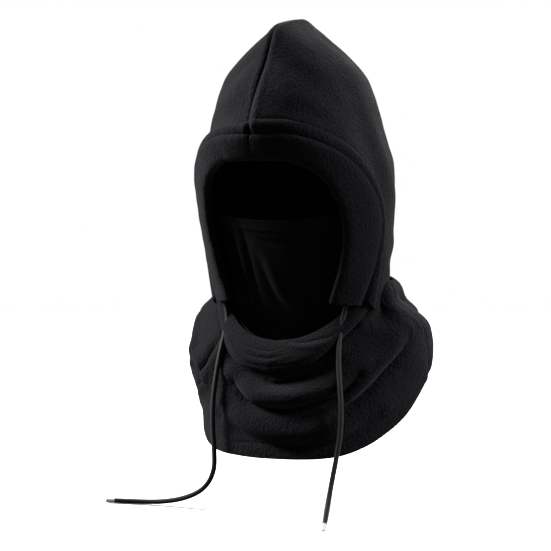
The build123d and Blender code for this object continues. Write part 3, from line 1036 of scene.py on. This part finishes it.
    def chin_place(self, part: np.ndarray, down: np.ndarray, proud: Any) -> np.ndarray:
        """Points of the chin band: between its two edges, laid on the cape's front.

        The place across and the height run evenly from the upper edge to the lower one.
        """
        side = np.sign(part)
        reach = 1 - np.abs(part)
        upper = along_points(reach, self.chin_top)
        lower = along_points(reach, self.chin_low)
        flat = upper + (lower - upper) * down[..., None]
        x, z = flat[..., 0] * side, flat[..., 1]
        half = CAPE_EGG.section(z)[0]
        angle = np.arcsin(np.clip(x / half, -0.999, 0.999))
        base = CAPE_EGG.place(angle, z)
        beyond = CAPE_EGG.place(angle, z, -1.0)
        return base + (beyond - base) * np.asarray(proud)[..., None]

    def build_chin(self) -> None:
        """Builds the doubled chin band, its lining and the stitching under it."""
        rows, columns = 44, 150
        part = np.linspace(-1, 1, columns)[None, :] + np.zeros((rows, 1))
        down = np.linspace(0, 1, rows)[:, None] + 0 * part
        across = part * 100.0
        crease = (
            Fold(((-44, 60), (-14, 66), (8, 58)), 2.2, 5.0, 1.6, 7.0, 6.0).lift(across, down * 100)
            + Fold(((-30, 34), (-10, 40), (6, 36)), 1.4, 4.0, 1.0, 6.0, 5.0).lift(across, down * 100)
            + Fold(((22, 12), (44, 40), (58, 74)), 1.6, 5.0, 1.4, 7.0, 6.0).lift(across, down * 100)
        )
        plump = self.chin_proud + 2.4 * np.sin(math.pi * down) ** 0.7 + crease
        plump = plump - 1.6 * bell(1 - down, 0.05) - 1.7 * bell(1 - down - 0.13, 0.035)
        points = self.chin_place(part, down, plump)
        band = mesh_piece(
            "chin_band_cloth", points.reshape(-1, 3), grid_faces(rows, columns)
        )
        finish_sheet(band, 2.7)
        self.wardrobe.dress(band, Finish.BAND)
        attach(band, "collar")
        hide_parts("chin_band")
        declare_sheet(points)
        points = self.chin_place(part, down * 0.97, np.full(part.shape, -1.6))
        lining = mesh_piece(
            "chin_band_lining_cloth", points.reshape(-1, 3), grid_faces(rows, columns)
        )
        finish_sheet(lining, 2.2)
        self.wardrobe.dress(lining, Finish.LINING)
        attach(lining, "collar")
        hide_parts("chin_band_lining")
        declare_sheet(points)
        run = np.linspace(-0.97, 0.97, 240)
        line = self.chin_place(run, np.full(240, 0.87), np.full(240, 5.0))
        out = unit(self.chin_place(run, np.full(240, 0.87), np.full(240, 8.0)) - line)
        self.thread("chin_band_thread_row", "chin_band_thread", line, out)

    def thread(self, name: str, node: str, line: np.ndarray, out: np.ndarray) -> None:
        """Adds a row of stitches that stands for a CAD thread."""
        piece = stitch_row(name, line, out)
        self.wardrobe.dress(piece, Finish.THREAD)
        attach(piece, "collar")
        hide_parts(node)

    def build(self) -> None:
        """Builds every piece of the collar and cape."""
        shells = (
            ("cape_front_panel", -90.0, 90.0, 150, 300),
            ("cape_back_panel", 88.0, 272.0, 100, 200),
        )
        for node, start, end, rows, columns in shells:
            piece, points = self.panel(
                f"{node}_cloth", start, end, 0.0, 0.0, 1.0, 0.0, (rows, columns)
            )
            finish_sheet(piece, self.thickness)
            self.wardrobe.dress(piece, Finish.FLEECE)
            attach(piece, "collar")
            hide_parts(node)
            declare_sheet(points)
        for node, start, end in (
            ("hem_front_fold", -90.0, 90.0), ("hem_back_fold", 88.5, 271.5)
        ):
            piece, points = self.panel(
                f"{node}_cloth", start, end, 0.0, 0.0, -self.hem_fold, self.thickness + 0.3,
                (12, 200),
            )
            finish_sheet(piece, 1.4)
            self.wardrobe.dress(piece, Finish.LINING)
            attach(piece, "collar")
            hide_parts(node)
            declare_sheet(points)
        self.build_chin()
        self.build_trim()
        log.info("collar and cape")

    def build_trim(self) -> None:
        """Builds the hem's topstitching, the collar tape and the blank label."""
        angle = np.linspace(-math.pi, math.pi, 900)
        top, hem = self.edge_heights(angle)
        line = self.drape(angle, hem + self.stitch_up, -0.15)
        out = unit(self.drape(angle, hem + self.stitch_up, -3.0) - line)
        self.thread("hem_thread_row", "hem_thread", line, out)
        rows, columns = 8, 160
        turn = np.linspace(math.radians(95), math.radians(265), columns)
        top, _ = self.edge_heights(turn)
        height = top[None, :] - np.linspace(0.5, 9.5, rows)[:, None]
        points = self.drape(turn[None, :] + 0 * height, height, self.thickness + 0.3)
        tape = mesh_piece(
            "collar_seam_tape_cloth", points.reshape(-1, 3), grid_faces(rows, columns)
        )
        thicken(tape, TAPE_THICKNESS)
        self.wardrobe.dress(tape, Finish.TAPE)
        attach(tape, "collar")
        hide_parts("collar_seam_tape")
        declare_sheet(points)
        rows, columns = 26, 20
        turn = math.pi + np.linspace(-12, 12, columns)[None, :] / 105.0
        height = np.linspace(22, -10, rows)[:, None] + 0 * turn
        curl = 0.8 * bell(np.linspace(0, 1, rows)[:, None] - 1.0, 0.3)
        points = self.drape(turn + 0 * height, height, self.thickness + 1.3 + curl + 0 * turn)
        label = mesh_piece("care_label_cloth", points.reshape(-1, 3), grid_faces(rows, columns))
        thicken(label, LABEL_THICKNESS)
        self.wardrobe.dress(label, Finish.LABEL)
        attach(label, "collar")
        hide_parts("care_label")
        declare_sheet(points)


# ---------------------------------------------------------------- the cord ends
@dataclass
class CordEnd:
    """One free end of the drawcord: a braided tube along a hanging NURBS line, and its tip."""

    wardrobe: Wardrobe
    name: str
    points: tuple
    length: float
    lay: str
    radius: float = 2.5
    strands: int = 8
    sides: int = 32
    ring_pitch: float = 0.55
    braid_pitch: float = 13.0
    braid_core: float = 0.965
    braid_swell: float = 0.05

    def centre_line(self) -> np.ndarray:
        """Points in millimetres along the NURBS line, as Blender evaluates it."""
        data = bpy.data.curves.new(f"{self.name}_line", "CURVE")
        data.dimensions = "3D"
        data.resolution_u = 48
        spline = data.splines.new("NURBS")
        spline.points.add(len(self.points) - 1)
        flat = [value for x, y, z in self.points for value in (x * MM, y * MM, z * MM, 1.0)]
        spline.points.foreach_set("co", flat)
        spline.order_u = 3
        spline.use_endpoint_u = True
        carrier = bpy.data.objects.new(f"{self.name}_line", data)
        bpy.context.scene.collection.objects.link(carrier)
        bpy.context.view_layer.update()
        line = bpy.data.meshes.new_from_object(carrier)
        found = np.empty(len(line.vertices) * 3)
        line.vertices.foreach_get("co", found)
        bpy.data.objects.remove(carrier)
        bpy.data.curves.remove(data)
        bpy.data.meshes.remove(line)
        return found.reshape(-1, 3) / MM

    def build(self) -> None:
        """Sweeps the braid along the line.

        The section is a circle whose radius swells where two opposite sets of helical strands
        cross: radius times 1 plus a small part of the product of two turning cosines.
        """
        raw = self.centre_line()
        runs = np.linalg.norm(np.diff(raw, axis=0), axis=1)
        reach = np.concatenate(([0.0], np.cumsum(runs)))
        rings = int(reach[-1] / self.ring_pitch)
        at = np.linspace(0, reach[-1], rings)
        line = np.stack([np.interp(at, reach, raw[:, k]) for k in range(3)], axis=-1)
        along = unit(np.gradient(line, axis=0))
        beside = unit(np.cross(along, np.array((0.35, 1.0, 0.1))))
        above = np.cross(along, beside)
        turn = np.linspace(0, 2 * math.pi, self.sides, endpoint=False)
        twist = at[:, None] * (2 * math.pi / self.braid_pitch)
        crossed = np.cos(self.strands / 2 * (turn + twist)) * np.cos(
            self.strands / 2 * (turn - twist))
        size = self.radius * (self.braid_core + self.braid_swell * crossed)
        points = (
            line[:, None]
            + beside[:, None] * (size * np.cos(turn))[..., None]
            + above[:, None] * (size * np.sin(turn))[..., None]
        )
        ends = np.stack((line[0], line[-1]))
        every = np.concatenate((points.reshape(-1, 3), ends))
        faces = grid_faces(rings, self.sides, closed=True).tolist()
        first, last = rings * self.sides, rings * self.sides + 1
        ring = np.arange(self.sides)
        beyond = (ring + 1) % self.sides
        tail = (rings - 1) * self.sides
        faces += np.stack((beyond, ring, np.full_like(ring, first)), axis=-1).tolist()
        faces += np.stack((ring + tail, beyond + tail, np.full_like(ring, last)), axis=-1).tolist()
        piece = mesh_piece(f"{self.name}_braid", every, faces)
        self.wardrobe.dress(piece, Finish.CORD)
        side = self.name.split("_")[-1]
        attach(piece, f"cord_end_{side}")
        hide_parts(self.name)
        self.wardrobe.dress_node(f"aglet_{side}", Finish.AGLET)
        log.info("%s, %.0f mm", self.name, reach[-1])


# ---------------------------------------------------------------- the stage
@dataclass
class Stage:
    """Camera, pale floor and soft light."""

    azimuth: float = math.radians(26.0)
    elevation: float = math.radians(3.0)
    distance: float = 1.3
    target: tuple = (-0.0184, -0.0090, 0.0265)
    view_width: float = 0.551
    sensor: float = 36.0
    floor_height: float = -0.1977
    floor_radius: float = 2.4
    lit_place: tuple = (0.0, 0.0, 0.08)
    floor_bounce: float = 0.12
    floor_seen: float = 0.95
    sky_light: float = 0.035
    sky_seen: float = 1.0

    def build_camera(self) -> None:
        """Puts the camera at its distance from the target, with a lens that fits the view."""
        data = bpy.data.cameras.new("camera")
        data.sensor_width = self.sensor
        data.lens = self.sensor * self.distance / self.view_width
        camera = bpy.data.objects.new("camera", data)
        level = self.distance * math.cos(self.elevation)
        camera.location = (
            self.target[0] + level * math.sin(self.azimuth),
            self.target[1] - level * math.cos(self.azimuth),
            self.target[2] + self.distance * math.sin(self.elevation),
        )
        camera.rotation_euler = (math.pi / 2 - self.elevation, 0, self.azimuth)
        bpy.context.scene.collection.objects.link(camera)
        bpy.context.scene.camera = camera

    def build_floor(self) -> None:
        """A round floor that the camera sees as white and that throws little light back."""
        turn = np.linspace(0, 2 * math.pi, 96, endpoint=False)
        rim = np.stack((np.cos(turn), np.sin(turn), 0 * turn), axis=-1) * self.floor_radius
        rim[:, 2] = self.floor_height
        data = bpy.data.meshes.new("floor")
        data.from_pydata(rim.tolist(), [], [tuple(range(len(turn)))])
        floor = bpy.data.objects.new("floor", data)
        bpy.context.scene.collection.objects.link(floor)
        shader = Shader("floor")
        shader.dress(Roughness=0.9, Specular_IOR_Level=0.1)
        colour = shader.surface.inputs["Base Color"]
        camera_only(shader.tree, self.floor_bounce, self.floor_seen, colour)
        data.materials.append(shader.material)

    def build_lights(self) -> None:
        """A world that only the camera sees as white, and four broad lamps."""
        world = bpy.data.worlds.new("world")
        world.use_nodes = True
        tree = world.node_tree
        sky = tree.nodes["Background"]
        sky.inputs["Color"].default_value = (1, 1, 1, 1)
        camera_only(tree, self.sky_light, self.sky_seen, sky.inputs["Strength"])
        bpy.context.scene.world = world
        lamps = (
            ("left_side", (-1.7, -0.25, 1.1), 0.7, 150.0),
            ("right_side", (1.7, 0.55, 0.9), 0.7, 80.0),
            ("front", (-0.6, -1.6, 1.7), 0.9, 2.0),
            ("rear", (0.2, 1.9, 1.3), 1.4, 60.0),
        )
        for name, place, size, power in lamps:
            data = bpy.data.lights.new(name, "AREA")
            data.size = size
            data.energy = power
            lamp = bpy.data.objects.new(name, data)
            lamp.location = place
            aim = np.array(self.lit_place) - np.array(place)
            level = math.hypot(aim[0], aim[1])
            tilt = math.atan2(level, -aim[2])
            lamp.rotation_euler = (tilt, 0, math.atan2(aim[1], aim[0]) - math.pi / 2)
            bpy.context.scene.collection.objects.link(lamp)

    def build(self) -> None:
        """Builds the whole stage."""
        self.build_camera()
        self.build_floor()
        self.build_lights()
        bpy.context.scene.view_settings.view_transform = "Standard"


LEFT_ROUTE = (
    (65.5, -27.134, -2.102), (62.577, -26.724, -11.656),
    (62.5, -34.5, -27), (66, -46, -46), (71, -55, -68), (76, -62, -92), (78, -68, -116),
    (76, -74, -140), (74, -81, -163), (75, -92, -182), (79, -107, -193),
)
RIGHT_ROUTE = (
    (-65.5, -27.134, -2.102), (-62.577, -26.724, -11.656),
    (-61, -35, -27), (-59.5, -48, -45), (-58, -60, -67), (-57, -69, -92), (-54, -76, -117),
    (-49, -81, -140), (-47, -85, -161), (-57, -88, -178), (-78, -89, -188.5),
    (-103, -91, -194), (-127, -95.5, -195), (-150, -101.5, -195),
)


def main() -> None:
    """Builds the stage, the cords and every sub-assembly in order."""
    logging.basicConfig(level=logging.INFO, format="%(name)s: %(message)s")
    stage = Stage()
    stage.build()
    wardrobe = Wardrobe()
    CordEnd(wardrobe, "drawcord_left", LEFT_ROUTE, 213.0, "hanging").build()
    CordEnd(wardrobe, "drawcord_right", RIGHT_ROUTE, 289.0, "loose").build()
    Hood(wardrobe).build()
    Mask(wardrobe).build()
    Cape(wardrobe).build()


if __name__ == "__main__":
    main()
